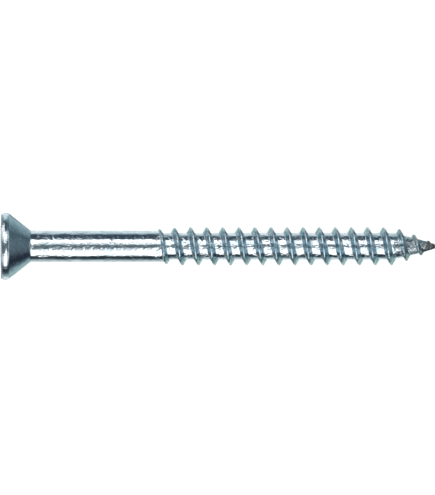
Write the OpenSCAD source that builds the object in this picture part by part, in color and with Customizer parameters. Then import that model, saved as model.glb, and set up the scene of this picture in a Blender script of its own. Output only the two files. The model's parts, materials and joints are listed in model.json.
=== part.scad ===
// Countersunk wood screw, lying along X: the flat top of the head is at x = 0 and the tip points to +X.
// The axis of the screw is the X axis. Angles round it start at +Y and turn towards +Z.
// The real screw is one piece of steel. Each node is one region of it, and regions meet face to face.

/* [Head] */
// Diameter of the head
head_d = 9.6; // [9.2:0.1:10.2]
// Thickness of the upright rim
rim_t = 1.05; // [0.8:0.05:1.2]
// Rounding of the rim's two edges
rim_round = 0.16; // [0.1:0.02:0.3]
// Included angle of the conical underside, in degrees
cone_angle = 77.5; // [74:0.5:90]

/* [Cross recess] */
// Width across opposite wings at the mouth
recess_d = 6.4; // [5.6:0.1:6.8]
// Width of one wing
wing_w = 1.05; // [0.8:0.05:1.2]
// Depth of the wings
wing_depth = 3.0; // [2.4:0.1:3.2]
// Depth of the centre, down to its conical floor
recess_depth = 3.6; // [3.4:0.1:3.8]

/* [Shank] */
// Diameter of the plain shank
shank_d = 4.45; // [4.3:0.05:4.6]
// Distance from the top of the head to the end of the plain shank
shank_end = 22.45; // [14:0.05:32]

/* [Thread] */
// Outer diameter of the thread
thread_d = 5.5; // [5.2:0.05:5.6]
// Diameter at the root of the thread
root_d = 3.74; // [3.5:0.02:3.9]
// Distance from one turn to the next
pitch = 2.309; // [2.1:0.001:2.4]
// Width of the ridge at its crest
crest_w = 0.16; // [0.12:0.02:0.3]
// Width of the ridge at its foot
foot_w = 1.18; // [1.1:0.02:1.5]

/* [Point] */
// Overall length, from the top of the head to the tip
screw_length = 62.75; // [50:0.25:70]
// Length of the tapering point
point_length = 6.4; // [5.8:0.1:7]
// Distance from one turn to the next on the point
point_pitch = 2.1; // [1.9:0.02:2.3]
// Diameter of the very tip
tip_d = 0.24; // [0.2:0.02:0.4]

/* [Hidden] */

head_r = head_d / 2;
shank_r = shank_d / 2;
root_r = root_d / 2;
thread_r = thread_d / 2;
tip_r = tip_d / 2;

// The cone runs from the rim down to the shank's diameter.
cone_length = (head_r - shank_r) / tan(cone_angle / 2);
head_length = rim_t + cone_length;
point_start = screw_length - point_length;

// The recess: each wing leans in by this angle, and the centre is a cone that ends in a pointed floor.
wing_lean = 13;
wing_floor_r = recess_d / 2 - wing_depth * tan(wing_lean);
centre_mouth_r = 1.5;
centre_floor_r = 0.9;
fit_gap = 0.01;

// The ridge of the thread. Its flanks are straight down to the knee and spread from there to the foot.
STEPS_PER_TURN = 40;
step_angle = 360 / STEPS_PER_TURN;
knee_share = 0.14;
foot_spread = 0.1;
knee_half = foot_w / 2 - foot_spread;
crest_half = crest_w / 2;
// A foot this much outside the root keeps the flat facets between two steps clear of the round core.
chord_gap = 1 / cos(step_angle / 2);

// The ridge rises steeply out of the shank's end, then slowly to its full height.
STEEP_ANGLE = 72;
SLOW_ANGLE = 560;
steep_rise = 0.26;
crest_lead = 0.16;
first_crest = shank_end + crest_lead;
// Half a step early, so that the thread lies on a flat between two steps, and not on a corner.
start_angle = -STEEP_ANGLE - step_angle / 2;
// The first turn stops one step short of its own start, so that its two ends don't touch.
start_end_angle = start_angle + 360 - step_angle;
// Behind the first ridge the steel stays level with the shank up to here, then sinks to the root.
LEVEL_ANGLE = 160;
// Least thicknesses, so that no part of the first turn closes to nothing.
least_step = 0.02;
least_fill = 0.02;
// The last full turn ends where the foot would reach the point.
start_end_x = first_crest + pitch * start_end_angle / 360;
core_end_step = floor((point_start - foot_w / 2 - start_end_x) / pitch * STEPS_PER_TURN);
core_end_angle = start_end_angle + core_end_step * step_angle;
// Half a turn later, well onto the point, the turns come closer together.
PINCH_DELAY = 180;
pinch_angle = core_end_angle + PINCH_DELAY;
pinch_x = first_crest + pitch * pinch_angle / 360;
// On the point, the ridge runs out a little before the tip.
runout_gap = 0.75;
runout_x = screw_length - runout_gap;
runout_step = floor((PINCH_DELAY / 360 + (runout_x - pinch_x) / point_pitch) * STEPS_PER_TURN);
runout_angle = core_end_angle + runout_step * step_angle;

// The taper of the point is slightly full, like the pinched end of a gimlet.
TAPER_POWER = 0.8;
TAPER_STEPS = 16;
// The taper's rings are closer together towards the tip, where it curves most.
CROWDING = 1.5;
RUNOUT_TURNS = 2.6;
RUNOUT_POWER = 0.75;
least_ridge = 0.03;
// A ridge of no height would still be this share of the full width.
LEAST_WIDTH_SHARE = 0.25;

ROUND_STEPS = 96;
// The head's blank is turned by this angle, so that a faceted copy lies on a flat and not on a corner.
REST_TURN = 2.61;
RIM_EDGE_STEPS = 4;

function clamp01(v) = min(1, max(0, v));

// Axial place of the ridge's crest at an angle.
function crest_x(a) =
    first_crest + (pitch * min(a, pinch_angle) + point_pitch * max(0, a - pinch_angle)) / 360;

// Radius of the steel under the ridge at x, without the thread.
function point_share(x) = clamp01((x - point_start) / point_length);
function body_r(x) = tip_r + (root_r - tip_r) * pow(1 - point_share(x), TAPER_POWER);

// Radius of the crest as the ridge rises from the shank.
function rising_crest(a) =
    shank_r + least_step + steep_rise * clamp01((a + STEEP_ANGLE) / STEEP_ANGLE)
    + (thread_r - shank_r - least_step - steep_rise) * clamp01(a / SLOW_ANGLE);

// Height of the ridge above the steel, as it runs out along the point.
function runout(a) = clamp01((runout_angle - a) / (360 * RUNOUT_TURNS));
function ridge_height(a) = max(least_ridge, (rising_crest(a) - root_r) * pow(runout(a), RUNOUT_POWER));

// One corner of the ridge's section at an angle, as [axial offset, radius].
function corner(a, offset, share) =
    let (x = crest_x(a) + offset)
    [x, body_r(x) * chord_gap + share * ridge_height(a)];

// The ridge keeps its flank angle, so a low ridge is also a narrow one.
function scale_at(a) =
    LEAST_WIDTH_SHARE + (1 - LEAST_WIDTH_SHARE) * ridge_height(a) / (thread_r - root_r);

function section(a) =
    let (s = scale_at(a))
    [
        corner(a, -s * foot_w / 2, 0),
        corner(a, -s * knee_half, knee_share),
        corner(a, -s * crest_half, 1),
        corner(a, s * crest_half, 1),
        corner(a, s * knee_half, knee_share),
        corner(a, s * foot_w / 2, 0)
    ];

// Radius of the steel between the shank's end and the first ridge.
function fill_r(a) =
    let (sink = clamp01((a - LEVEL_ANGLE) / (start_end_angle - LEVEL_ANGLE)), floor_r = root_r * chord_gap)
    shank_r - (shank_r - floor_r - least_fill) * sink;

// The first turn's section: it fills the corner between the shank's end, the core and the ridge.
function first_section(a) =
    let (
        s = scale_at(a),
        crest_r = root_r * chord_gap + ridge_height(a),
        flank = (knee_half - crest_half) / ((1 - knee_share) * (thread_r - root_r)),
        left = max(shank_end + 2 * least_step, crest_x(a) - s * crest_half),
        right = left + s * crest_w,
        fill = fill_r(a),
        foot_x = max(shank_end + least_step, left - flank * (crest_r - fill))
    )
    [
        [shank_end, root_r * chord_gap],
        [shank_end, fill],
        [foot_x, fill],
        [left, crest_r],
        [right, crest_r],
        [right + s * (knee_half - crest_half), root_r * chord_gap + knee_share * ridge_height(a)],
        [right + s * (foot_w / 2 - crest_half), root_r * chord_gap]
    ];

function placed(p, a) = [p[0], p[1] * cos(a), p[1] * sin(a)];

// A closed helical ridge between two angles, with the full section or the first turn's.
module ridge(from, to, first = false) {
    steps = round((to - from) / step_angle);
    corners = len(first ? first_section(from) : section(from));
    points = [
        for (i = [0 : steps])
            let (a = from + i * step_angle)
            for (p = first ? first_section(a) : section(a)) placed(p, a)
    ];
    skin = [
        for (i = [0 : steps - 1], j = [0 : corners - 1])
            let (k = (j + 1) % corners, here = i * corners, next = here + corners)
            each [[here + j, next + j, here + k], [here + k, next + j, next + k]]
    ];
    near_end = [for (j = [0 : corners - 1]) j];
    far_end = [for (j = [corners - 1 : -1 : 0]) steps * corners + j];
    polyhedron(points = points, faces = concat(skin, [near_end, far_end]), convexity = 10);
}

// A solid turned about the screw's axis from an outline of [x, radius] points.
module turned(outline) {
    rotate([0, 90, 0]) rotate_extrude($fn = ROUND_STEPS)
        polygon([for (p = outline) [p[1], p[0]]]);
}

// A round bar along the axis.
module bar(x0, x1, r0, r1) {
    translate([x0, 0, 0]) rotate([0, 90, 0]) cylinder(h = x1 - x0, r1 = r0, r2 = r1, $fn = ROUND_STEPS);
}

// Points on the rim's rounded edge, as [x, radius].
function rim_edge(x, from, to) = [
    for (a = [from : (to - from) / RIM_EDGE_STEPS : to])
        [x + rim_round * cos(a), head_r - rim_round + rim_round * sin(a)]
];

module head_blank() {
    turned(concat(
        [[0, 0]],
        rim_edge(rim_round, 180, 90),
        [[rim_t, head_r], [head_length, shank_r], [head_length, 0]]
    ));
}

module wing() {
    intersection() {
        bar(-fit_gap, wing_depth, recess_d / 2, wing_floor_r);
        translate([-fit_gap, -recess_d, -wing_w / 2]) cube([wing_depth + fit_gap, 2 * recess_d, wing_w]);
    }
}

module recess() {
    wing();
    rotate([90, 0, 0]) wing();
    bar(-fit_gap, wing_depth, centre_mouth_r, centre_floor_r);
    bar(wing_depth, recess_depth, centre_floor_r, 0);
}

// Head: upright rim and countersunk cone, with the cross recess.
module head() {
    color("lightsteelblue") difference() {
        rotate([REST_TURN, 0, 0]) head_blank();
        recess();
    }
}

// Plain shank between the head and the thread.
module shank() {
    color("silver") bar(head_length, shank_end, shank_r, shank_r);
}

// Core of the threaded part, at the thread's root.
module core() {
    color("gainsboro") bar(shank_end, point_start, root_r, root_r);
}

// First turn of the ridge, rising out of the shank's end.
module thread_start() {
    color("slategray") ridge(start_angle, start_end_angle, first = true);
}

// The thread's full turns on the core.
module thread() {
    color("slategray") ridge(start_end_angle, core_end_angle);
}

// Tapered point without its thread.
module point() {
    color("darkgray") turned(concat(
        [[point_start, 0]],
        [
            for (i = [0 : TAPER_STEPS])
                let (x = point_start + point_length * (1 - pow(1 - i / TAPER_STEPS, CROWDING)))
                [x, body_r(x)]
        ],
        [[screw_length, 0]]
    ));
}

// The ridge where it crosses onto the point and runs out.
module point_thread() {
    color("dimgray") ridge(core_end_angle, runout_angle);
}

head();
shank();
core();
thread_start();
thread();
point();
point_thread();
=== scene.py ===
"""A countersunk wood screw in bright zinc-plated steel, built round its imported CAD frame."""

import json
import math

import bmesh
import bpy
from bpy.props import FloatProperty, FloatVectorProperty, PointerProperty
from mathutils import Matrix, Vector, noise


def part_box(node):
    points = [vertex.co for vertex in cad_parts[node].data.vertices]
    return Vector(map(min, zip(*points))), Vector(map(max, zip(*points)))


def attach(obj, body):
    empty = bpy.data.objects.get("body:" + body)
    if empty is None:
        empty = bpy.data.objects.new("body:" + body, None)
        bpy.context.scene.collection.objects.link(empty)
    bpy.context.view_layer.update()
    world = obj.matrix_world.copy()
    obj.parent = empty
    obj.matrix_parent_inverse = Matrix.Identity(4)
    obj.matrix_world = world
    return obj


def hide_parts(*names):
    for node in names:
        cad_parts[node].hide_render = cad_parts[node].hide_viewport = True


bl_info = {
    "name": "Wood Screw",
    "version": (1, 0, 0),
    "blender": (4, 5, 0),
    "location": "3D View > Sidebar > Wood Screw",
    "description": "Builds a zinc-plated countersunk wood screw on its CAD frame, with its studio stage",
    "category": "Add Mesh",
}

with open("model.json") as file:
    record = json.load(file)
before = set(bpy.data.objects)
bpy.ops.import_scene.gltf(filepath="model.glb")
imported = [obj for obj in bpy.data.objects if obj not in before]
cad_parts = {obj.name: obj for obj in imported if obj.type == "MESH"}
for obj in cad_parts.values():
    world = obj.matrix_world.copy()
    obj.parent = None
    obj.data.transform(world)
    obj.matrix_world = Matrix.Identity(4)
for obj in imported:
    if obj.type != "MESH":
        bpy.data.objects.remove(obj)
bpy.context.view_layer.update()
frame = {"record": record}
BODY = "root"
MM = 0.001
TURN = 2 * math.pi

# Sizes that the frame holds. The screw's axis is the X axis, and its head's top is at x = 0.
HEAD_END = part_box("head")[1].x
HEAD_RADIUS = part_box("head")[1].y
NECK_END = HEAD_END + 0.2 * MM
SHANK_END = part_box("shank")[1].x
SHANK_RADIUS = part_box("shank")[1].y
ROOT_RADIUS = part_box("core")[1].y
THREAD_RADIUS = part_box("thread")[1].y
POINT_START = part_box("point")[0].x
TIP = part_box("point")[1].x
MOUNTS = {m["name"]: m for m in frame["record"]["mounts"]}
RECESS_RADIUS = MOUNTS["drive_recess"]["dims"]["r_mm"] * MM
RECESS_DEPTH = MOUNTS["drive_recess"]["dims"]["length_mm"] * MM


# ---------------------------------------------------------------------------------------------
# What a user can change


def length(name, description, default):
    return FloatProperty(name=name, description=description, default=default, min=0.0,
                         unit="LENGTH", precision=5)


def share(name, description, default):
    return FloatProperty(name=name, description=description, default=default, min=0.0, max=1.0,
                         subtype="FACTOR")


def colour(name, description, default):
    return FloatVectorProperty(name=name, description=description, default=default, min=0.0, max=1.0,
                               size=3, subtype="COLOR")


def brightness(name, description, default):
    return FloatProperty(name=name, description=description, default=default, min=0.0)


class ScrewHeadSizes(bpy.types.PropertyGroup):
    rim: length("Rim", "Thickness of the upright rim", 1.05 * MM)
    rim_round: length("Rim edge", "Rounding of the rim's top edge", 0.22 * MM)
    cone_round: length("Cone edge", "Rounding where the rim turns into the cone", 0.14 * MM)
    neck_round: length("Neck", "Fillet where the cone meets the shank", 0.45 * MM)
    wing: length("Wing", "Width of one wing of the cross recess", 1.05 * MM)
    wing_depth: length("Wing depth", "Depth of the recess's wings", 3.0 * MM)
    centre: length("Recess centre", "Radius of the recess's centre at the mouth", 1.5 * MM)


class ScrewThreadSizes(bpy.types.PropertyGroup):
    pitch: length("Pitch", "Distance from one turn to the next", 2.309 * MM)
    point_pitch: length("Pitch on the point", "Distance from one turn to the next on the point", 2.1 * MM)
    first_crest: length("First crest", "How far past the shank's end the first crest is", 0.16 * MM)
    crest: length("Crest", "Width of the ridge at its crest", 0.16 * MM)
    foot: length("Foot", "Width of the ridge at its foot", 1.08 * MM)
    fillet: length("Foot fillet", "Blend between the ridge and the root", 0.13 * MM)
    seam: length("Crest seam", "Depth of the rolled seam along the crest", 0.018 * MM)


class ScrewPlating(bpy.types.PropertyGroup):
    bright: colour("Bright", "Clean zinc plate", (0.80, 0.85, 0.88))
    shade: colour("Shade", "Thicker, bluer zinc plate", (0.60, 0.68, 0.73))
    # A bluish plate tint that is also painted shade: it darkens the thread's flanks.
    blue: colour("Blue", "Bluish plate and painted shade on the thread's flanks", (0.27, 0.46, 0.54))
    dull: colour("Dull", "Dull zinc where the steel was pinched or rubbed", (0.52, 0.55, 0.54))
    # The pits' dark colour; it is also the painted shade laid into hollow corners.
    pits_and_corner_shade: colour("Pit colour and corner shade", "Dark pits, and painted shade in hollow corners", (0.16, 0.17, 0.18))
    soot: colour("Point, tarnished", "Dark steel at the very tip", (0.15, 0.135, 0.125))
    gloss_roughness: share("Gloss roughness", "Roughness of clean plate", 0.12)
    dull_roughness: share("Dull roughness", "Roughness of dull plate", 0.42)


class ScrewStage(bpy.types.PropertyGroup):
    floor: colour("Floor", "Colour of the paper under the screw", (0.86, 0.86, 0.86))
    overhead: colour("Overhead", "Light from straight above", (0.13, 0.18, 0.21))
    far_light: colour("Far overhead", "Light from high up past the screw's ends", (0.66, 0.72, 0.75))
    card: colour("Card", "The grey card over the shank", (0.12, 0.165, 0.185))
    window: colour("Window", "A bright window behind the head, on the upper side", (1.0, 1.0, 1.0))
    under_light: colour("Below, light", "Light from straight below, in two opposite quarters",
                        (0.62, 0.78, 0.68))
    under_dark: colour("Below, dark", "Light from straight below, in the other two quarters",
                       (0.04, 0.09, 0.11))
    softbox_light: brightness("Softboxes", "Brightness of the softboxes", 1.6)
    fill_light: brightness("Fill", "Brightness of the lamp over the paper", 3.2)
    softbox_reach: length("Softbox distance", "Distance from the screw to each softbox", 0.8)
    camera_reach: length("Camera distance", "Height of the camera over the screw", 2.5)


# ---------------------------------------------------------------------------------------------
# Small sums


def clamp(value, low=0.0, high=1.0):
    return min(high, max(low, value))


def ease(value):
    t = clamp(value)
    return t * t * (3 - 2 * t)


def soft_max(a, b, blend):
    near = max(blend - abs(a - b), 0.0) / blend
    return max(a, b) + near * near * blend / 4


def soft_min(a, b, blend):
    return -soft_max(-a, -b, blend)


def ripple(x, angle, scale, seed):
    """Smooth noise on the round surface, the same after a full turn."""
    place = Vector((x / scale, 2.0 * math.cos(angle) + seed, 2.0 * math.sin(angle) - seed))
    return noise.noise(place)


# ---------------------------------------------------------------------------------------------
# The screw's surface, as a radius at every place and angle. Angles start at +Y and turn towards +Z.

# The ridge rises steeply from the shank over RUN_IN, and then slowly to its full height over SLOW_RISE.
RUN_IN = math.radians(72)
STEEP_RISE = 0.26 * MM
SLOW_RISE = math.radians(560)
# How far the ridge starts past its helix, which it joins half a turn on.
LATE_START = 0.17 * MM
# The steel under the first turn sinks from the shank to the root, from LEVEL on.
LEVEL = math.radians(160)
SHOULDER_START = -0.27 * MM
SHOULDER_LENGTH = 0.55 * MM
SINK_LENGTH = 0.3 * MM
TAPER_POWER = 0.8
TIP_RADIUS = 0.12 * MM
TIP_ROUND = 0.14 * MM
TIP_SHORT = 0.004 * MM
# Where on the point the turns start to come closer together.
PINCH_DELAY = 0.52 * MM
# How far short of the tip the ridge has run out, and the turns over which it sinks away.
RUN_OUT = 0.75 * MM
RUN_OUT_TURNS = 2.6
RUN_OUT_POWER = 0.72
# Wear of the crest: its depth, how fast it comes and goes along the helix, and its seed.
WEAR = ((0.014 * MM, 0.9, (3.1, 7.7)), (0.007 * MM, 4.3, (1.7, 2.9)))
CORE_WAVE = 0.006 * MM
CORE_WAVE_LENGTH = 1.6 * MM
CORE_SEED = 5.0
CREST_ROUND = 0.07 * MM
SEAM_WIDTH = 0.035 * MM
# The ridge's height from which the seam on its crest has its full depth.
SEAM_HEIGHT = 0.5 * MM
FILLET_TO_HEIGHT = 1.6
LEAST_FILLET = 0.004 * MM


class Skin:
    """The threaded part's surface, from the sizes in the panel."""

    def __init__(self, sizes):
        self.pitch = sizes.pitch
        self.point_pitch = sizes.point_pitch
        self.start = SHANK_END + sizes.first_crest
        self.pinch_place = POINT_START + PINCH_DELAY
        self.pinch = (self.pinch_place - self.start) / self.pitch * TURN
        self.crest_half = sizes.crest / 2
        self.slope = (THREAD_RADIUS - ROOT_RADIUS) / (sizes.foot / 2 - self.crest_half)
        self.fillet = sizes.fillet
        self.seam = sizes.seam
        self.last = self.angle_of(TIP - RUN_OUT)

    def crest_place(self, turned):
        before = min(turned, self.pinch)
        late = LATE_START * (1 - ease(turned / (TURN / 2)))
        return self.start + late + (self.pitch * before + self.point_pitch * (turned - before)) / TURN

    def angle_of(self, x):
        before = min(x, self.pinch_place)
        return ((before - self.start) / self.pitch + (x - before) / self.point_pitch) * TURN

    def steel(self, x):
        """Radius without the ridge, down to the rounded tip."""
        along = clamp((x - POINT_START) / (TIP - POINT_START))
        radius = TIP_RADIUS + (ROOT_RADIUS - TIP_RADIUS) * (1 - along) ** TAPER_POWER
        left = clamp((TIP - x) / TIP_ROUND)
        return radius * math.sqrt(max(1 - (1 - left) ** 2, 0.0))

    def crest_height(self, turned):
        """Height of the ridge over the root, as it rises from the shank and runs out on the point."""
        from_shank = SHANK_RADIUS - ROOT_RADIUS + STEEP_RISE * ease((turned + RUN_IN) / RUN_IN)
        rest = THREAD_RADIUS - ROOT_RADIUS - (SHANK_RADIUS - ROOT_RADIUS + STEEP_RISE)
        full = from_shank + rest * ease(turned / SLOW_RISE)
        wear = sum(depth * noise.noise(Vector((turned * rate, *seed))) for depth, rate, seed in WEAR)
        out = clamp((self.last - turned) / (RUN_OUT_TURNS * TURN)) ** RUN_OUT_POWER
        return (full + wear) * out

    def base(self, x, turned):
        """Radius between the ridges: the shank, the shoulder that sinks to the root, and the core."""
        core = self.steel(x) + CORE_WAVE * ripple(x, turned, CORE_WAVE_LENGTH, CORE_SEED)
        first = self.crest_place(turned)
        sunk = ease((turned - LEVEL) / (TURN - RUN_IN - LEVEL))
        level = SHANK_RADIUS - (SHANK_RADIUS - ROOT_RADIUS) * sunk
        if x < first:
            shoulder = ease((x - SHANK_END - SHOULDER_START) / SHOULDER_LENGTH)
            return SHANK_RADIUS - (SHANK_RADIUS - level) * shoulder
        past = ease((x - first) / SINK_LENGTH)
        return level + (core - level) * past

    def radius(self, x, angle):
        turned = (angle + RUN_IN) % TURN - RUN_IN
        base = self.base(x, turned)
        turn = max(0, round((self.angle_of(x) - turned) / TURN))
        here = turned + turn * TURN
        if here > self.last:
            return base
        height = self.crest_height(here)
        crest = self.steel(self.crest_place(here)) + height
        off = abs(x - self.crest_place(here))
        seam = self.seam * math.exp(-(off / SEAM_WIDTH) ** 2) * clamp(height / SEAM_HEIGHT)
        flank = crest - self.slope * (off - self.crest_half)
        top = soft_min(crest - seam, flank, CREST_ROUND)
        blend = clamp(FILLET_TO_HEIGHT * (crest - base), LEAST_FILLET, self.fillet)
        return soft_max(base, top, blend)

    def ridge_share(self, x, angle):
        """0 between the ridges, 1 on the crest."""
        turned = (angle + RUN_IN) % TURN - RUN_IN
        reach = THREAD_RADIUS - ROOT_RADIUS
        return clamp((self.radius(x, angle) - self.base(x, turned)) / reach)


# The shank's short waves, which are higher over a stretch by the head, and its long ones. They die away
# towards both ends, where the shank meets its neighbours.
SHORT_WAVE = 0.0012 * MM
SHORT_WAVE_BY_HEAD = 0.0022 * MM
SHORT_WAVE_LENGTH = 0.9 * MM
SHORT_SEED = 11.0
LONG_WAVE = 0.004 * MM
LONG_WAVE_LENGTH = 4.0 * MM
LONG_SEED = 23.0
BY_HEAD = 9 * MM
CALM_BY_HEAD = 0.5 * MM
CALM_BY_THREAD = 0.8 * MM


def shank_radius(x, angle):
    """The plain shank, with the faint waves that drawing and heading leave, strongest by the head."""
    near_head = 1 - ease((x - NECK_END) / BY_HEAD)
    calm = ease((x - NECK_END) / CALM_BY_HEAD) * ease((SHANK_END + SHOULDER_START - x) / CALM_BY_THREAD)
    short = SHORT_WAVE + SHORT_WAVE_BY_HEAD * near_head
    waves = short * ripple(x, angle, SHORT_WAVE_LENGTH, SHORT_SEED)
    waves += LONG_WAVE * ripple(x, angle, LONG_WAVE_LENGTH, LONG_SEED)
    return SHANK_RADIUS + waves * calm


# ---------------------------------------------------------------------------------------------
# Meshes

# Steps for measuring a surface's slope along the screw and round it.
SLOPE_STEP = 0.004 * MM
SLOPE_TURN = 0.002
LEAST_RADIUS = 1e-7
ON_PLANE = 1e-7
CUT_REACH = 1e-9
# A face whose normal lies this close to the axis is a flat end.
FLAT_END = 0.9999


def round_axis(x, radius, angle):
    return Vector((x, radius * math.cos(angle), radius * math.sin(angle)))


def surface_normal(radius_at, x, angle):
    """Outward normal of a surface given as a radius at each place and angle."""
    r = max(radius_at(x, angle), LEAST_RADIUS)
    rise = radius_at(x + SLOPE_STEP, angle) - radius_at(x - SLOPE_STEP, angle)
    swell = radius_at(x, angle + SLOPE_TURN) - radius_at(x, angle - SLOPE_TURN)
    by_x, by_angle = rise / (2 * SLOPE_STEP), swell / (2 * SLOPE_TURN * r)
    along, across = math.cos(angle), math.sin(angle)
    return Vector((-by_x, along + by_angle * across, across - by_angle * along)).normalized()


def cap(bm, x, outward):
    """Closes the open edge at x with triangles round a point on the axis."""
    rim = [e for e in bm.edges if e.is_boundary and all(abs(v.co.x - x) < ON_PLANE for v in e.verts)]
    middle = bm.verts.new((x, 0, 0))
    for edge in rim:
        face = bm.faces.new((edge.verts[0], edge.verts[1], middle))
        face.normal_update()
        if face.normal.x * outward < 0:
            face.normal_flip()


def finish_piece(name, bm, radius_at, ridge_share=None):
    """Makes the piece with its true surface normals, so that neighbours shade as one steel surface."""
    bmesh.ops.recalc_face_normals(bm, faces=bm.faces[:])
    mesh = bpy.data.meshes.new(name)
    bm.to_mesh(mesh)
    bm.free()
    turned = [math.atan2(v.co.z, v.co.y) for v in mesh.vertices]
    smooth = [surface_normal(radius_at, v.co.x, a) for v, a in zip(mesh.vertices, turned)]
    normals = [Vector((0, 0, 1))] * len(mesh.loops)
    for face in mesh.polygons:
        flat = abs(face.normal.x) > FLAT_END
        face.use_smooth = not flat
        for i in face.loop_indices:
            normals[i] = face.normal.copy() if flat else smooth[mesh.loops[i].vertex_index]
    mesh.normals_split_custom_set(normals)
    if ridge_share:
        values = [ridge_share(v.co.x, a) for v, a in zip(mesh.vertices, turned)]
        mesh.attributes.new("ridge", "FLOAT", "POINT").data.foreach_set("value", values)
    piece = bpy.data.objects.new(name, mesh)
    bpy.context.scene.collection.objects.link(piece)
    return piece


def ringed(radius_at, places, steps):
    """A round skin of rings across the axis, closed at both ends."""
    bm = bmesh.new()
    angles = [TURN * j / steps for j in range(steps)]
    rings = [[bm.verts.new(round_axis(x, radius_at(x, a), a)) for a in angles] for x in places]
    for near, far in zip(rings, rings[1:]):
        for j in range(steps):
            k = (j + 1) % steps
            bm.faces.new((near[j], near[k], far[k], far[j]))
    cap(bm, places[0], -1)
    cap(bm, places[-1], 1)
    return bm


# The mesh's lines beside the crest, as shares of the way to the next turn's crest: close at the crest,
# where it is rounded and seamed, and at the fillets.
BESIDE_CREST = (0.014, 0.028, 0.042, 0.06, 0.09, 0.14, 0.19, 0.24, 0.28, 0.31, 0.34, 0.385, 0.44)
RIDGE_OFFSETS = (-0.5, *(-part for part in reversed(BESIDE_CREST)), 0.0, *BESIDE_CREST)
STEPS_PER_TURN = 96


def helical(skin, start, end):
    """A skin whose lines follow the ridge round, cut square at both ends and closed there."""
    bm = bmesh.new()
    count = len(RIDGE_OFFSETS)
    first = math.floor(skin.angle_of(start) / TURN - 1) * STEPS_PER_TURN
    last = math.ceil(skin.angle_of(end) / TURN + 1) * STEPS_PER_TURN
    rows = []
    for i in range(first, last + 1):
        angle = TURN * i / STEPS_PER_TURN
        middle = skin.crest_place(angle)
        before = middle - skin.crest_place(angle - TURN)
        after = skin.crest_place(angle + TURN) - middle
        row = []
        for offset in RIDGE_OFFSETS:
            x = middle + offset * (before if offset < 0 else after)
            row.append(bm.verts.new(round_axis(x, skin.radius(min(x, TIP), angle), angle)))
        rows.append(row)
    for i in range(len(rows) - 1):
        here, there = rows[i], rows[i + 1]
        for j in range(count - 1):
            bm.faces.new((here[j], here[j + 1], there[j + 1], there[j]))
        if i + 1 + STEPS_PER_TURN < len(rows):
            after, after_next = rows[i + STEPS_PER_TURN], rows[i + 1 + STEPS_PER_TURN]
            bm.faces.new((here[-1], after[0], after_next[0], there[-1]))
    for place, side in ((start, -1), (end, 1)):
        parts = bm.verts[:] + bm.edges[:] + bm.faces[:]
        bmesh.ops.bisect_plane(bm, geom=parts, dist=CUT_REACH, plane_co=(place, 0, 0),
                               plane_no=(side, 0, 0), clear_outer=True)
        for v in bm.verts:
            if abs(v.co.x - place) < ON_PLANE:
                v.co.x = place
        cap(bm, place, side)
    return bm


# ---------------------------------------------------------------------------------------------
# The head, with its cross recess

# Points in a quarter of a ring round the head.
QUARTER = 40
RIM_TILT = 27
EDGE_STEPS = 8
CROWN_STEPS = 12
CORNER_STEPS = 5
CONE_STEPS = 16
NECK_STEPS = 8
SHARP_ANGLE = math.radians(32)
WING_CORNER = 0.16 * MM
# A wing's rounded end: shares of its corner, back from the tip and in from the side.
WING_END = ((0.15, 0.45), (0.55, 0.08), (1.0, 0.0))
WING_BULGE = 0.998
CENTRE_SPREAD = math.radians(38)
WING_LEAN = math.radians(13)
WING_NARROWING = 0.12
LIP_SPREAD = 1.2
# Rings up a wing's wall: a share of the wings' depth, a length added to it, and how far the lip opens.
WALL_RINGS = ((1, 0.0, -0.12 * MM), (1, -0.05 * MM, -0.03 * MM), (1, -0.2 * MM, 0.0), (0.75, 0.0, 0.0),
              (0.5, 0.0, 0.0), (0.25, 0.0, 0.0), (0, 0.12 * MM, 0.0), (0, 0.04 * MM, 0.03 * MM),
              (0, 0.0, 0.09 * MM))
# The pit below the wings, from its tip up to where the wings start.
PIT_TIP = 0.03 * MM
PIT_TIP_RISE = 0.02 * MM
PIT_RADIUS = 0.9 * MM
PIT_SPREAD = 1.1
PIT_TOP = 0.1 * MM
PIT_RINGS = (0.4, 0.75, 1.0)
# Rings on the top face, as shares of the way from the recess's mouth to the rim.
TOP_RINGS = (0.12, 0.3, 0.5, 0.7, 0.88)


def cross_outline(radius, wing, centre, lean):
    """The recess's outline at one depth: four wings round a rounder centre, as points [across, up]."""
    half = wing / 2
    tip = radius - lean
    inner = max(half * 1.02, centre * math.sin(CENTRE_SPREAD))
    side = [
        Vector((tip, 0)),
        Vector((tip * WING_BULGE, half * 0.5)),
        *(Vector((tip - WING_CORNER * back, half - WING_CORNER * inward)) for back, inward in WING_END),
        Vector(((tip + centre) / 2, half)),
        Vector((max(centre, inner * 1.15), half)),
        Vector((max(centre * 0.93, inner * 1.05), half + (inner - half) * 0.45)),
        Vector((inner, inner)),
    ]
    quarter = side + [Vector((p.y, p.x)) for p in reversed(side[:-1])]
    spans = [0.0]
    for a, b in zip(quarter, quarter[1:]):
        spans.append(spans[-1] + (b - a).length)
    points = []
    for step in range(QUARTER):
        want = spans[-1] * step / QUARTER
        k = max(i for i, s in enumerate(spans) if s <= want + 1e-12)
        k = min(k, len(quarter) - 2)
        t = (want - spans[k]) / max(spans[k + 1] - spans[k], 1e-12)
        points.append(quarter[k].lerp(quarter[k + 1], t))
    return points


def full_turn(quarter):
    """One quarter's points carried round to four."""
    points = []
    for turn in range(4):
        spin = Matrix.Rotation(turn * math.pi / 2, 2)
        points += [spin @ p for p in quarter]
    return points


def circle(radius):
    angles = [TURN * i / (4 * QUARTER) for i in range(4 * QUARTER)]
    return [Vector((radius * math.cos(a), radius * math.sin(a))) for a in angles]


def arc(points, radius, tilts, steps):
    """Carries [place, radius] points on round an arc. A tilt is its normal's angle from straight out."""
    x, r = points[-1]
    first, last = map(math.radians, tilts)
    for i in range(1, steps + 1):
        tilt = first + (last - first) * i / steps
        points.append((x + radius * (math.sin(tilt) - math.sin(first)),
                       r + radius * (math.cos(tilt) - math.cos(first))))


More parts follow.
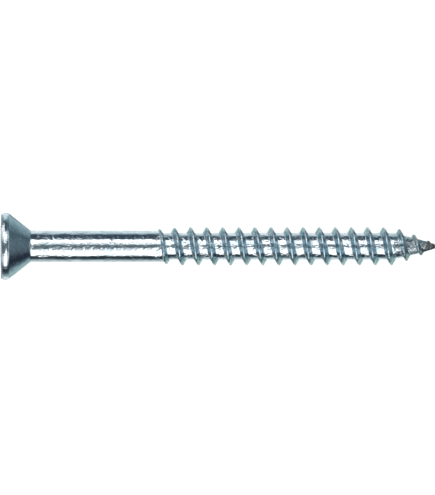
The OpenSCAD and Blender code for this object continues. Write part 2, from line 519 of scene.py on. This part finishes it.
def head_outline(sizes):
    """The head's outside from the top face's edge to the shank, as [place, radius] points."""
    lean = math.atan2(HEAD_RADIUS - SHANK_RADIUS, HEAD_END - sizes.rim)
    slope = math.tan(lean)
    upright = math.cos(math.radians(RIM_TILT))
    rise = 1 - upright
    half_sine = math.sin(math.radians(RIM_TILT))
    fall = sizes.cone_round * (upright - math.cos(lean))
    taken = sizes.rim_round * (1 - half_sine) + sizes.cone_round * (math.sin(lean) - half_sine)
    width = (sizes.rim + fall / slope - taken) / (1 - rise / (2 * half_sine * slope))
    crown = width / (2 * half_sine)
    points = [(0.0, HEAD_RADIUS - crown * rise - sizes.rim_round * upright)]
    arc(points, sizes.rim_round, (-90, -RIM_TILT), EDGE_STEPS)
    arc(points, crown, (-RIM_TILT, RIM_TILT), CROWN_STEPS)
    arc(points, sizes.cone_round, (RIM_TILT, math.degrees(lean)), CORNER_STEPS)
    start = Vector(points[-1])
    reach = sizes.neck_round * math.tan(lean / 2)
    meet = Vector((HEAD_END - reach * math.cos(lean), SHANK_RADIUS + reach * math.sin(lean)))
    for i in range(1, CONE_STEPS + 1):
        points.append(tuple(start.lerp(meet, i / CONE_STEPS)))
    x, r = points[-1]
    for i in range(1, NECK_STEPS + 1):
        turn = lean * (1 - i / NECK_STEPS)
        points.append((x + sizes.neck_round * (math.sin(lean) - math.sin(turn)),
                       r - sizes.neck_round * (math.cos(turn) - math.cos(lean))))
    points.append((NECK_END, SHANK_RADIUS))
    return points


def make_head(sizes):
    """Lofts the head from the recess's floor, up its walls, over the top face and down the cone."""
    floor = sizes.wing_depth
    loops = [(RECESS_DEPTH - PIT_TIP_RISE, circle(PIT_TIP))]
    for part in PIT_RINGS:
        loops.append((RECESS_DEPTH + (floor + PIT_TOP - RECESS_DEPTH) * part, circle(PIT_RADIUS * part)))
    for part, more, lip in WALL_RINGS:
        depth = floor * part + more
        down = depth / floor
        wing = sizes.wing * (1 - WING_NARROWING * down) + LIP_SPREAD * lip
        centre = sizes.centre + (PIT_RADIUS * PIT_SPREAD - sizes.centre) * down + lip
        shape = cross_outline(RECESS_RADIUS + lip, wing, centre, math.tan(WING_LEAN) * depth)
        loops.append((depth, full_turn(shape)))
    mouth = loops[-1][1]
    outline = head_outline(sizes)
    edge = circle(outline[0][1])
    for part in TOP_RINGS:
        loops.append((0.0, [a.lerp(b, part) for a, b in zip(mouth, edge)]))
    loops += [(x, circle(r)) for x, r in outline]

    bm = bmesh.new()
    rings = [[bm.verts.new((x, p.x, p.y)) for p in points] for x, points in loops]
    count = 4 * QUARTER
    for near, far in zip(rings, rings[1:]):
        for j in range(count):
            k = (j + 1) % count
            bm.faces.new((near[j], near[k], far[k], far[j]))
    tip = bm.verts.new((RECESS_DEPTH, 0, 0))
    back = bm.verts.new((loops[-1][0], 0, 0))
    for j in range(count):
        k = (j + 1) % count
        bm.faces.new((rings[0][j], rings[0][k], tip))
        bm.faces.new((rings[-1][j], rings[-1][k], back))
    bmesh.ops.recalc_face_normals(bm, faces=bm.faces[:])
    mesh = bpy.data.meshes.new("head_piece")
    bm.to_mesh(mesh)
    bm.free()
    for face in mesh.polygons:
        face.use_smooth = True
    mesh.set_sharp_from_angle(angle=SHARP_ANGLE)
    piece = bpy.data.objects.new("head_piece", mesh)
    bpy.context.scene.collection.objects.link(piece)
    return piece


# ---------------------------------------------------------------------------------------------
# Shader node groups


def new_group(name, inputs, outputs):
    group = bpy.data.node_groups.new(name, "ShaderNodeTree")
    for socket_name, kind, default in inputs:
        socket = group.interface.new_socket(name=socket_name, in_out="INPUT", socket_type=kind)
        if default is not None:
            socket.default_value = default
    for socket_name, kind in outputs:
        group.interface.new_socket(name=socket_name, in_out="OUTPUT", socket_type=kind)
    start = group.nodes.new("NodeGroupInput")
    end = group.nodes.new("NodeGroupOutput")
    return group, start, end


def add(tree, kind, **settings):
    node = tree.nodes.new(kind)
    for key, value in settings.items():
        setattr(node, key, value)
    return node


def plug(tree, source, target):
    tree.links.new(source, target)


def noise_node(tree, vector, scale, detail=3.0, roughness=0.5, distortion=0.0):
    node = add(tree, "ShaderNodeTexNoise")
    node.inputs["Scale"].default_value = scale
    node.inputs["Detail"].default_value = detail
    node.inputs["Roughness"].default_value = roughness
    node.inputs["Distortion"].default_value = distortion
    plug(tree, vector, node.inputs["Vector"])
    return node.outputs["Fac"]


def ranged(tree, value, low, high, to_low=0.0, to_high=1.0, smooth=True):
    node = add(tree, "ShaderNodeMapRange", interpolation_type="SMOOTHSTEP" if smooth else "LINEAR")
    for name, number in (("From Min", low), ("From Max", high), ("To Min", to_low), ("To Max", to_high)):
        node.inputs[name].default_value = number
    plug(tree, value, node.inputs["Value"])
    return node.outputs["Result"]


def sums(tree, operation, a, b):
    node = add(tree, "ShaderNodeMath", operation=operation)
    for socket, value in zip(node.inputs, (a, b)):
        if isinstance(value, (int, float)):
            socket.default_value = value
        else:
            plug(tree, value, socket)
    return node.outputs[0]


def stretched(tree, vector, scale):
    node = add(tree, "ShaderNodeVectorMath", operation="MULTIPLY")
    plug(tree, vector, node.inputs[0])
    node.inputs[1].default_value = scale
    return node.outputs[0]


# The plating's clouds and the drawn lines run along the steel.
PLATE_STRETCH = (0.6, 1.0, 1.0)
LINE_STRETCH = (0.05, 1.0, 1.0)
FINE_SHARE = 0.05
SPECK_SCALE = 1900


def mottle_group():
    """Cloudy plating: where it lies thicker or thinner, and the orange-peel skin that it leaves."""
    group, start, end = new_group(
        "Plating mottle",
        [("Vector", "NodeSocketVector", None), ("Peel", "NodeSocketFloat", 1.0)],
        [("Cloud", "NodeSocketFloat"), ("Height", "NodeSocketFloat")],
    )
    vector = start.outputs["Vector"]
    drawn_out = stretched(group, vector, PLATE_STRETCH)
    cloud = noise_node(group, drawn_out, scale=900, detail=4.0, roughness=0.6)
    plug(group, ranged(group, cloud, low=0.36, high=0.66), end.inputs["Cloud"])
    peel = noise_node(group, drawn_out, scale=2100, detail=0.6, roughness=0.5, distortion=0.8)
    fine = noise_node(group, vector, scale=11000, detail=1.0, roughness=0.5)
    both = sums(group, "ADD", peel, sums(group, "MULTIPLY", fine, FINE_SHARE))
    plug(group, sums(group, "MULTIPLY", both, start.outputs["Peel"]), end.inputs["Height"])
    return group


def drawn_group():
    """Fine lines along the steel, left by drawing the wire."""
    group, start, end = new_group(
        "Drawn lines",
        [("Vector", "NodeSocketVector", None)],
        [("Mask", "NodeSocketFloat"), ("Height", "NodeSocketFloat")],
    )
    drawn_out = stretched(group, start.outputs["Vector"], LINE_STRETCH)
    lines = noise_node(group, drawn_out, scale=7000, detail=3.0, roughness=0.6)
    plug(group, ranged(group, lines, low=0.56, high=0.7), end.inputs["Mask"])
    plug(group, lines, end.inputs["Height"])
    return group


def specks_group():
    """Scattered pits and specks in the plating."""
    group, start, end = new_group(
        "Plating specks",
        [("Vector", "NodeSocketVector", None), ("Amount", "NodeSocketFloat", 0.5)],
        [("Mask", "NodeSocketFloat")],
    )
    cells = add(group, "ShaderNodeTexVoronoi", feature="F1")
    cells.inputs["Scale"].default_value = SPECK_SCALE
    plug(group, start.outputs["Vector"], cells.inputs["Vector"])
    dots = ranged(group, cells.outputs["Distance"], low=0.13, high=0.25, to_low=1.0, to_high=0.0)
    patches = noise_node(group, start.outputs["Vector"], scale=700, detail=2.0, roughness=0.5)
    some = sums(group, "MULTIPLY", dots, ranged(group, patches, low=0.5, high=0.66))
    plug(group, sums(group, "MULTIPLY", some, start.outputs["Amount"]), end.inputs["Mask"])
    return group


def wear_and_shade_group():
    """Bright rubbing on high places that stand out of the surface, broken up by noise, and painted shade in
    hollow corners.
    """
    group, start, end = new_group(
        "Rubbed edges and corner shade",
        [("Vector", "NodeSocketVector", None), ("Low", "NodeSocketFloat", 0.52),
         ("High", "NodeSocketFloat", 0.6)],
        [("Mask", "NodeSocketFloat"), ("Corner shade", "NodeSocketFloat")],
    )
    shape = add(group, "ShaderNodeNewGeometry")
    sharp = add(group, "ShaderNodeMapRange", interpolation_type="SMOOTHSTEP")
    plug(group, shape.outputs["Pointiness"], sharp.inputs["Value"])
    plug(group, start.outputs["Low"], sharp.inputs["From Min"])
    plug(group, start.outputs["High"], sharp.inputs["From Max"])
    breaks = noise_node(group, start.outputs["Vector"], scale=2600, detail=3.0, roughness=0.6)
    broken = ranged(group, breaks, low=0.3, high=0.62)
    plug(group, sums(group, "MULTIPLY", sharp.outputs["Result"], broken), end.inputs["Mask"])
    # Low pointiness finds hollow corners: this mask lays painted shade there.
    corner = ranged(group, shape.outputs["Pointiness"], low=0.41, high=0.485, to_low=1.0, to_high=0.0)
    plug(group, corner, end.inputs["Corner shade"])
    return group


def groups_in_file():
    """The shared node groups, made once."""
    makers = {"mottle": ("Plating mottle", mottle_group), "drawn": ("Drawn lines", drawn_group),
              "specks": ("Plating specks", specks_group), "wear_and_shade": ("Rubbed edges and corner shade", wear_and_shade_group)}
    return {key: bpy.data.node_groups.get(name) or make() for key, (name, make) in makers.items()}


def place_group(tree, group, vector, **values):
    node = add(tree, "ShaderNodeGroup", node_tree=group)
    plug(tree, vector, node.inputs["Vector"])
    for name, value in values.items():
        node.inputs[name].default_value = value
    return node


def mix(tree, factor, a, b):
    """Goes from colour a to colour b; a mix node's colour sockets are its inputs 6 and 7 and output 2."""
    node = add(tree, "ShaderNodeMix", data_type="RGBA")
    plug(tree, factor, node.inputs["Factor"])
    for socket, value in ((node.inputs[6], a), (node.inputs[7], b)):
        if isinstance(value, bpy.types.NodeSocket):
            plug(tree, value, socket)
        else:
            socket.default_value = (*value, 1.0)
    return node.outputs[2]


def place_along(tree, vector, first, last):
    """0 at one place along the screw, 1 at another."""
    split = add(tree, "ShaderNodeSeparateXYZ")
    plug(tree, vector, split.inputs[0])
    return ranged(tree, split.outputs["X"], first, last)


def flank_share(tree, vector):
    """The ridge's flanks, without its crest, in patches: where the bluish tint and painted shade go."""
    ridge = add(tree, "ShaderNodeAttribute", attribute_name="ridge").outputs["Fac"]
    flank = sums(tree, "MULTIPLY", ranged(tree, ridge, low=0.04, high=0.22),
                 ranged(tree, ridge, low=0.98, high=0.88))
    patches = noise_node(tree, vector, scale=1300, detail=2.0, roughness=0.6)
    patches = ranged(tree, patches, low=0.40, high=0.56, to_low=0.2, to_high=1.0)
    return sums(tree, "MULTIPLY", flank, patches)


# The noise from which dull plate starts and is full, and how far a dullness of 1 brings both down.
DULL_FROM, DULL_FULL, DULL_GAIN = 0.62, 0.86, 0.5
# How strongly painted shade darkens hollow corners.
CORNER_SHADE = 0.55
# What each kind of flaw adds to the roughness.
CLOUD_ROUGHNESS = 0.06
LINE_ROUGHNESS = 0.08
CORNER_ROUGHNESS = 0.2
PIT_ROUGHNESS = 0.2
PIT_DEPTH = 0.8
# How much of the orange peel goes where the dullness has faded.
PEEL_FADE = 0.55
BUMP_STRENGTH = 0.7
BUMP_DISTANCE = 0.06 * MM


def zinc(name, look, dullness, lines, peel, specks, fade=None, ridged=False, matting=1.0, soot=None):
    """Bright zinc plate over steel: cloudy colour, drawn lines, pits, rubbed edges and painted shade in
    hollow corners.

    Dullness and peel fade over the two places in fade, and the steel darkens over the two in soot. Matting
    is how far dull plate is also rough.
    """
    groups = groups_in_file()
    material = bpy.data.materials.new(name)
    material.use_nodes = True
    tree = material.node_tree
    shader = tree.nodes["Principled BSDF"]
    shader.inputs["Metallic"].default_value = 1.0
    vector = add(tree, "ShaderNodeTexCoord").outputs["Object"]
    mottle = place_group(tree, groups["mottle"], vector, Peel=peel)
    drawn = place_group(tree, groups["drawn"], vector)
    pits = place_group(tree, groups["specks"], vector, Amount=specks).outputs["Mask"]
    wear_and_shade = place_group(tree, groups["wear_and_shade"], vector)

    plate = mix(tree, mottle.outputs["Cloud"], look.bright, look.shade)
    if ridged:
        # Painted shade with a bluish tint: the thread's flanks are darkened and blued.
        plate = mix(tree, flank_share(tree, vector), plate, look.blue)
    dull_noise = noise_node(tree, vector, scale=1500, detail=4.0, roughness=0.65)
    brought = DULL_GAIN * dullness
    dull_mask = ranged(tree, dull_noise, DULL_FROM - brought, DULL_FULL - brought)
    peeled = mottle.outputs["Height"]
    if fade:
        faded = place_along(tree, vector, *fade)
        dull_mask = sums(tree, "MULTIPLY", dull_mask, sums(tree, "SUBTRACT", 1.0, faded))
        left = sums(tree, "SUBTRACT", 1.0, sums(tree, "MULTIPLY", faded, PEEL_FADE))
        peeled = sums(tree, "MULTIPLY", peeled, left)
    rubbed = mix(tree, dull_mask, plate, look.dull)
    edged = mix(tree, wear_and_shade.outputs["Mask"], rubbed, look.bright)
    pitted = mix(tree, pits, edged, look.pits_and_corner_shade)
    if soot:
        clouds = noise_node(tree, vector, scale=3200, detail=2.0, roughness=0.6)
        black = sums(tree, "MULTIPLY", place_along(tree, vector, *soot),
                     ranged(tree, clouds, low=0.3, high=0.6, to_low=0.35, to_high=0.95))
        pitted = mix(tree, black, pitted, look.soot)
    # Painted shade: hollow corners are darkened towards the pits' dark colour.
    corner = sums(tree, "MULTIPLY", wear_and_shade.outputs["Corner shade"], CORNER_SHADE)
    plug(tree, mix(tree, corner, pitted, look.pits_and_corner_shade), shader.inputs["Base Color"])

    gloss, matt = look.gloss_roughness, look.dull_roughness
    rough = ranged(tree, mottle.outputs["Cloud"], 0.0, 1.0, gloss, gloss + CLOUD_ROUGHNESS)
    flaws = ((drawn.outputs["Mask"], LINE_ROUGHNESS * lines), (dull_mask, matting * (matt - gloss)),
             (corner, CORNER_ROUGHNESS), (pits, PIT_ROUGHNESS))
    for mask, amount in flaws:
        rough = sums(tree, "ADD", rough, sums(tree, "MULTIPLY", mask, amount))
    plug(tree, rough, shader.inputs["Roughness"])

    height = sums(tree, "ADD", peeled, sums(tree, "MULTIPLY", drawn.outputs["Height"], lines))
    dented = sums(tree, "SUBTRACT", height, sums(tree, "MULTIPLY", pits, PIT_DEPTH))
    bumps = add(tree, "ShaderNodeBump")
    bumps.inputs["Strength"].default_value = BUMP_STRENGTH
    bumps.inputs["Distance"].default_value = BUMP_DISTANCE
    plug(tree, dented, bumps.inputs["Height"])
    plug(tree, bumps.outputs["Normal"], shader.inputs["Normal"])
    return material


PAPER_SHINE = 0.1
PAPER_SHADE = 0.97


def paper(look):
    """Smooth pale paper for the stage."""
    material = bpy.data.materials.new("stage_paper")
    material.use_nodes = True
    tree = material.node_tree
    shader = tree.nodes["Principled BSDF"]
    shader.inputs["Specular IOR Level"].default_value = PAPER_SHINE
    vector = add(tree, "ShaderNodeTexCoord").outputs["Object"]
    tooth = noise_node(tree, vector, scale=900, detail=4.0, roughness=0.6)
    darker = tuple(PAPER_SHADE * c for c in look.floor)
    plug(tree, mix(tree, tooth, look.floor, darker), shader.inputs["Base Color"])
    plug(tree, ranged(tree, tooth, 0.0, 1.0, to_low=0.75, to_high=0.9), shader.inputs["Roughness"])
    return material


# ---------------------------------------------------------------------------------------------
# Operators


def settle(piece, material, slot, *nodes):
    """Gives a piece its finish and its place in the frame."""
    piece.data.materials.append(material)
    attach(piece, BODY)
    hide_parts(*nodes)


class SCREW_OT_head(bpy.types.Operator):
    """Build the countersunk head with its cross recess"""

    bl_idname = "screw.head"
    bl_label = "Head"

    def execute(self, context):
        piece = make_head(context.scene.screw_head)
        finish = zinc("zinc_head", context.scene.screw_plating, dullness=0.05, lines=0.2, peel=0.5,
                      specks=0.4)
        settle(piece, finish, "zinc_head", "head")
        return {"FINISHED"}


SHANK_RINGS = 150
SHANK_STEPS = 144


class SCREW_OT_shank(bpy.types.Operator):
    """Build the plain shank"""

    bl_idname = "screw.shank"
    bl_label = "Shank"

    def execute(self, context):
        long = SHANK_END + SHOULDER_START - NECK_END
        places = [NECK_END + long * i / SHANK_RINGS for i in range(SHANK_RINGS + 1)]
        piece = finish_piece("shank_piece", ringed(shank_radius, places, SHANK_STEPS), shank_radius)
        finish = zinc("zinc_shank", context.scene.screw_plating, dullness=0.0, lines=0.05, peel=1.3,
                      specks=0.8, fade=(NECK_END, SHANK_END))
        settle(piece, finish, "zinc_shank", "shank")
        return {"FINISHED"}


class SCREW_OT_thread(bpy.types.Operator):
    """Build the first turn and the full turns of the thread, each on its stretch of core"""

    bl_idname = "screw.thread"
    bl_label = "Thread"

    def execute(self, context):
        skin = Skin(context.scene.screw_thread)
        middle = skin.start + skin.pitch / 2
        finish = zinc("zinc_thread", context.scene.screw_plating, dullness=0.04, lines=0.12, peel=2.0,
                      specks=0.9, ridged=True)
        first = helical(skin, SHANK_END + SHOULDER_START, middle)
        full = helical(skin, middle, POINT_START)
        start_piece = finish_piece("thread_start_piece", first, skin.radius, skin.ridge_share)
        thread_piece = finish_piece("thread_piece", full, skin.radius, skin.ridge_share)
        settle(start_piece, finish, "zinc_thread", "thread_start")
        settle(thread_piece, finish, "zinc_thread", "core", "thread")
        return {"FINISHED"}


# Where the point is fully dull, and where soot on the tip starts and is full.
DULL_POINT = POINT_START + 3.5 * MM
SOOTY_TIP = (TIP - 2.6 * MM, TIP - 1.2 * MM)


class SCREW_OT_point(bpy.types.Operator):
    """Build the gimlet point with the end of the thread"""

    bl_idname = "screw.point"
    bl_label = "Point"

    def execute(self, context):
        skin = Skin(context.scene.screw_thread)
        shape = helical(skin, POINT_START, TIP - TIP_SHORT)
        piece = finish_piece("point_piece", shape, skin.radius, skin.ridge_share)
        finish = zinc("zinc_point", context.scene.screw_plating, dullness=0.55, lines=0.1, peel=6.0,
                      specks=1.0, fade=(DULL_POINT, POINT_START), ridged=True, matting=0.05, soot=SOOTY_TIP)
        settle(piece, finish, "zinc_point", "point", "point_thread")
        return {"FINISHED"}


FLOOR_SIZE = 0.9
FLOOR_CELLS = 12
VIEW_CENTRE = Vector((31.10 * MM, -0.17 * MM, 0))
VIEW_HEIGHT = 71.08 * MM
SENSOR = 36.0
NEAREST_SEEN = 0.01
# The side that each softbox is on, and its near and far edges in degrees off the vertical.
SOFTBOXES = {"softbox_upper": (1, 3, 51), "softbox_lower": (-1, 3, 75)}
SOFTBOX_LENGTH = 0.66
# The card's outline: places along the screw in mm, and there how far each edge leans off the vertical.
CARD_EDGES = ((-300, 30, 38), (-60, 16, 28), (-1.5, 9, 22), (0.5, 34, 40), (9, 31, 36), (22, 14, 12),
              (60, 14, 6), (90, 20, 20), (300, 30, 30))
CARD_HEIGHT = 0.25
FILL_HEIGHT = 0.8
FILL_SIZE = 0.8


def lay_floor(look, material):
    """A sheet of paper that touches the head's rim and the thread, on which the screw lies."""
    scene = bpy.context.scene
    rim = Vector((scene.screw_head.rim, 0, -HEAD_RADIUS))
    crest = Vector((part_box("thread")[1].x - scene.screw_thread.foot / 2, 0, -THREAD_RADIUS))
    slope = (crest - rim).normalized()
    middle = (rim + crest) / 2
    bm = bmesh.new()
    steps = [(i / FLOOR_CELLS - 0.5) * FLOOR_SIZE for i in range(FLOOR_CELLS + 1)]
    grid = [bm.verts.new(middle + slope * along + Vector((0, across, 0))) for along in steps
            for across in steps]
    row = FLOOR_CELLS + 1
    for i in range(FLOOR_CELLS):
        for j in range(FLOOR_CELLS):
            k = i * row + j
            bm.faces.new((grid[k], grid[k + row], grid[k + row + 1], grid[k + 1]))
    mesh = bpy.data.meshes.new("stage_floor")
    bm.to_mesh(mesh)
    bm.free()
    floor = bpy.data.objects.new("stage_floor", mesh)
    floor.data.materials.append(material)
    floor.visible_glossy = False
    scene.collection.objects.link(floor)


def hang_softbox(name, side, near, far, look):
    """A long softbox over one side of the screw, from near to far degrees off the vertical."""
    middle = math.radians((near + far) / 2)
    half = math.radians((far - near) / 2)
    reach = look.softbox_reach
    data = bpy.data.lights.new(name, "AREA")
    data.shape = "RECTANGLE"
    data.size = SOFTBOX_LENGTH
    data.size_y = 2 * reach * math.tan(half)
    data.energy = look.softbox_light * math.pi * data.size * data.size_y
    lamp = bpy.data.objects.new(name, data)
    lamp.location = VIEW_CENTRE + Vector((0, side * math.sin(middle), math.cos(middle))) * reach
    lamp.rotation_euler = (-side * middle, 0, 0)
    lamp.visible_camera = False
    bpy.context.scene.collection.objects.link(lamp)


def hang_card(look):
    """A grey card over the shank: the steel mirrors it as a strip that narrows away from the head."""
    data = bpy.data.meshes.new("card")
    corners = []
    for x, upper, lower in CARD_EDGES:
        for side, angle in ((1, upper), (-1, lower)):
            corners.append((x * MM, side * CARD_HEIGHT * math.tan(math.radians(angle)), CARD_HEIGHT))
    data.from_pydata(corners, [], [(k, k + 1, k + 3, k + 2) for k in range(0, len(corners) - 2, 2)])
    material = bpy.data.materials.new("card")
    material.use_nodes = True
    tree = material.node_tree
    tree.nodes.clear()
    glow = add(tree, "ShaderNodeEmission")
    glow.inputs["Color"].default_value = (*look.card, 1.0)
    plug(tree, glow.outputs[0], add(tree, "ShaderNodeOutputMaterial").inputs["Surface"])
    data.materials.append(material)
    card = bpy.data.objects.new("card", data)
    card.visible_camera = False
    card.visible_diffuse = False
    bpy.context.scene.collection.objects.link(card)


def hang_fill(look):
    """A wide lamp that lights the paper and leaves no reflection of its own in the steel."""
    data = bpy.data.lights.new("fill", "AREA")
    data.shape = "RECTANGLE"
    data.size = FILL_SIZE
    data.size_y = FILL_SIZE
    data.energy = look.fill_light * math.pi * FILL_SIZE * FILL_SIZE
    data.use_shadow = False
    lamp = bpy.data.objects.new("fill", data)
    lamp.location = VIEW_CENTRE + Vector((0, 0, FILL_HEIGHT))
    lamp.visible_camera = False
    lamp.visible_glossy = False
    bpy.context.scene.collection.objects.link(lamp)


# What the room looks like from the screw, from straight below (-1) to straight above (1): beside the screw
# and past its ends, each on the +Y side (upper) and on the -Y side (lower), and then behind the head.
BESIDE_UPPER = ((-1.0, (0.95, 1.0, 1.0)), (-0.82, (0.90, 0.99, 1.0)), (-0.59, (0.78, 0.90, 0.94)),
                (-0.36, (0.55, 0.66, 0.72)), (-0.16, (0.10, 0.16, 0.20)), (0.0, (0.03, 0.06, 0.08)),
                (0.35, (0.025, 0.05, 0.08)), (0.7, (0.05, 0.09, 0.12)))
BESIDE_LOWER = ((-1.0, (0.95, 1.0, 1.0)), (-0.85, (0.85, 0.95, 0.97)), (-0.67, (0.62, 0.70, 0.72)),
                (-0.52, (0.34, 0.41, 0.43)), (-0.37, (0.12, 0.16, 0.18)), (-0.2, (0.02, 0.035, 0.042)),
                (0.2, (0.03, 0.05, 0.06)), (0.7, (0.05, 0.09, 0.12)))
ENDS_UPPER = ((-0.7, (0.34, 0.48, 0.52)), (-0.45, (0.22, 0.33, 0.37)), (-0.2, (0.17, 0.255, 0.285)),
              (-0.05, (0.07, 0.115, 0.14)), (0.08, (0.07, 0.12, 0.145)), (0.2, (0.12, 0.18, 0.21)),
              (0.5, (0.05, 0.10, 0.14)))
ENDS_LOWER = ((-0.66, (0.345, 0.49, 0.50)), (-0.53, (0.28, 0.40, 0.43)), (-0.41, (0.14, 0.21, 0.24)),
              (-0.28, (0.045, 0.068, 0.088)), (-0.11, (0.012, 0.017, 0.030)), (0.1, (0.042, 0.055, 0.080)),
              (0.21, (0.12, 0.17, 0.205)), (0.5, (0.05, 0.10, 0.14)))
HEAD_SIDE = ((-1.0, (0.52, 0.58, 0.59)), (-0.35, (0.46, 0.52, 0.54)), (-0.05, (0.22, 0.27, 0.30)),
             (0.12, (0.20, 0.25, 0.28)), (0.4, (0.55, 0.61, 0.64)), (0.8, (0.85, 0.90, 0.93)))


def ramp(tree, value, stops):
    """A colour that changes with a value from -1 to 1."""
    node = add(tree, "ShaderNodeValToRGB")
    plug(tree, ranged(tree, value, -1.0, 1.0, smooth=False), node.inputs[0])
    elements = node.color_ramp.elements
    while len(elements) < len(stops):
        elements.new(0.5)
    for element, (place, tone) in zip(elements, stops):
        element.position = (place + 1) / 2
        element.color = (*tone, 1.0)
    return node.outputs["Color"]


def light_room(look):
    """The room that the steel mirrors, bright and dark by direction only. The camera sees it as white."""
    world = bpy.data.worlds.new("room")
    bpy.context.scene.world = world
    world.use_nodes = True
    tree = world.node_tree
    tree.nodes.clear()
    split = add(tree, "ShaderNodeSeparateXYZ")
    plug(tree, add(tree, "ShaderNodeTexCoord").outputs["Generated"], split.inputs[0])
    along, across, up = split.outputs
    far_along = sums(tree, "ABSOLUTE", along, 0.0)
    far_across = sums(tree, "ABSOLUTE", across, 0.0)
    upper = ranged(tree, across, low=-0.08, high=0.08)
    beside = mix(tree, upper, ramp(tree, up, BESIDE_LOWER), ramp(tree, up, BESIDE_UPPER))
    ends = mix(tree, upper, ramp(tree, up, ENDS_LOWER), ramp(tree, up, ENDS_UPPER))
    sides = mix(tree, ranged(tree, far_along, low=0.12, high=0.3), beside, ends)

    quarter = ranged(tree, sums(tree, "MULTIPLY", along, across), low=-0.015, high=0.008)
    under = mix(tree, quarter, look.under_light, look.under_dark)
    straight_down = sums(tree, "MULTIPLY", ranged(tree, up, low=-0.7, high=-0.82),
                         ranged(tree, far_across, low=0.38, high=0.22))
    lower = mix(tree, straight_down, sides, under)

    high_ends = sums(tree, "MULTIPLY", ranged(tree, far_along, low=0.35, high=0.5),
                     ranged(tree, up, low=0.3, high=0.5))
    raised = mix(tree, high_ends, lower, look.far_light)
    headed = mix(tree, ranged(tree, along, low=-0.35, high=-0.6), raised, ramp(tree, up, HEAD_SIDE))

    window = sums(tree, "MULTIPLY", ranged(tree, along, low=-0.04, high=-0.14),
                  ranged(tree, up, low=0.02, high=0.14))
    window = sums(tree, "MULTIPLY", window, ranged(tree, across, low=0.5, high=0.62))
    lit = mix(tree, window, headed, look.window)
    mirrored = mix(tree, ranged(tree, up, low=0.88, high=0.96), lit, look.overhead)

    room = add(tree, "ShaderNodeBackground")
    plug(tree, mirrored, room.inputs["Color"])
    backdrop = add(tree, "ShaderNodeBackground")
    backdrop.inputs["Color"].default_value = (1, 1, 1, 1)
    ray = add(tree, "ShaderNodeLightPath")
    choose = add(tree, "ShaderNodeMixShader")
    end = add(tree, "ShaderNodeOutputWorld")
    plug(tree, ray.outputs["Is Camera Ray"], choose.inputs[0])
    for source, socket in zip((room, backdrop), choose.inputs[1:]):
        plug(tree, source.outputs[0], socket)
    plug(tree, choose.outputs[0], end.inputs["Surface"])


def place_camera(look):
    """A long lens straight above the screw, with the head to the left."""
    data = bpy.data.cameras.new("camera")
    data.sensor_fit = "AUTO"
    data.sensor_width = SENSOR
    data.lens = SENSOR * look.camera_reach / VIEW_HEIGHT
    data.clip_start = NEAREST_SEEN
    camera = bpy.data.objects.new("camera", data)
    camera.location = VIEW_CENTRE + Vector((0, 0, look.camera_reach))
    bpy.context.scene.collection.objects.link(camera)
    bpy.context.scene.camera = camera


class SCREW_OT_stage(bpy.types.Operator):
    """Lay the paper, hang the softboxes and place the camera"""

    bl_idname = "screw.stage"
    bl_label = "Stage"

    def execute(self, context):
        look = context.scene.screw_stage
        lay_floor(look, paper(look))
        for name, (side, near, far) in SOFTBOXES.items():
            hang_softbox(name, side, near, far, look)
        hang_card(look)
        hang_fill(look)
        light_room(look)
        place_camera(look)
        context.scene.view_settings.view_transform = "Standard"
        return {"FINISHED"}


PIECE_OPERATORS = (SCREW_OT_head, SCREW_OT_shank, SCREW_OT_thread, SCREW_OT_point, SCREW_OT_stage)


class SCREW_PT_panel(bpy.types.Panel):
    bl_idname = "SCREW_PT_panel"
    bl_label = "Wood Screw"
    bl_space_type = "VIEW_3D"
    bl_region_type = "UI"
    bl_category = "Wood Screw"

    def draw(self, context):
        layout = self.layout
        for name in SETTINGS:
            group = getattr(context.scene, name)
            box = layout.box()
            for prop in group.bl_rna.properties:
                if not prop.is_readonly and prop.identifier != "name":
                    box.prop(group, prop.identifier)
        for operator in PIECE_OPERATORS:
            layout.operator(operator.bl_idname)


SETTINGS = {
    "screw_head": ScrewHeadSizes,
    "screw_thread": ScrewThreadSizes,
    "screw_plating": ScrewPlating,
    "screw_stage": ScrewStage,
}
CLASSES = (*SETTINGS.values(), *PIECE_OPERATORS, SCREW_PT_panel)


def register():
    for cls in CLASSES:
        bpy.utils.register_class(cls)
    for name, cls in SETTINGS.items():
        setattr(bpy.types.Scene, name, PointerProperty(type=cls))


def unregister():
    for name in SETTINGS:
        delattr(bpy.types.Scene, name)
    for cls in reversed(CLASSES):
        bpy.utils.unregister_class(cls)


def main():
    register()
    bpy.ops.screw.head()
    bpy.ops.screw.shank()
    bpy.ops.screw.thread()
    bpy.ops.screw.point()
    bpy.ops.screw.stage()
    bpy.context.view_layer.update()


if __name__ == "__main__":
    main()
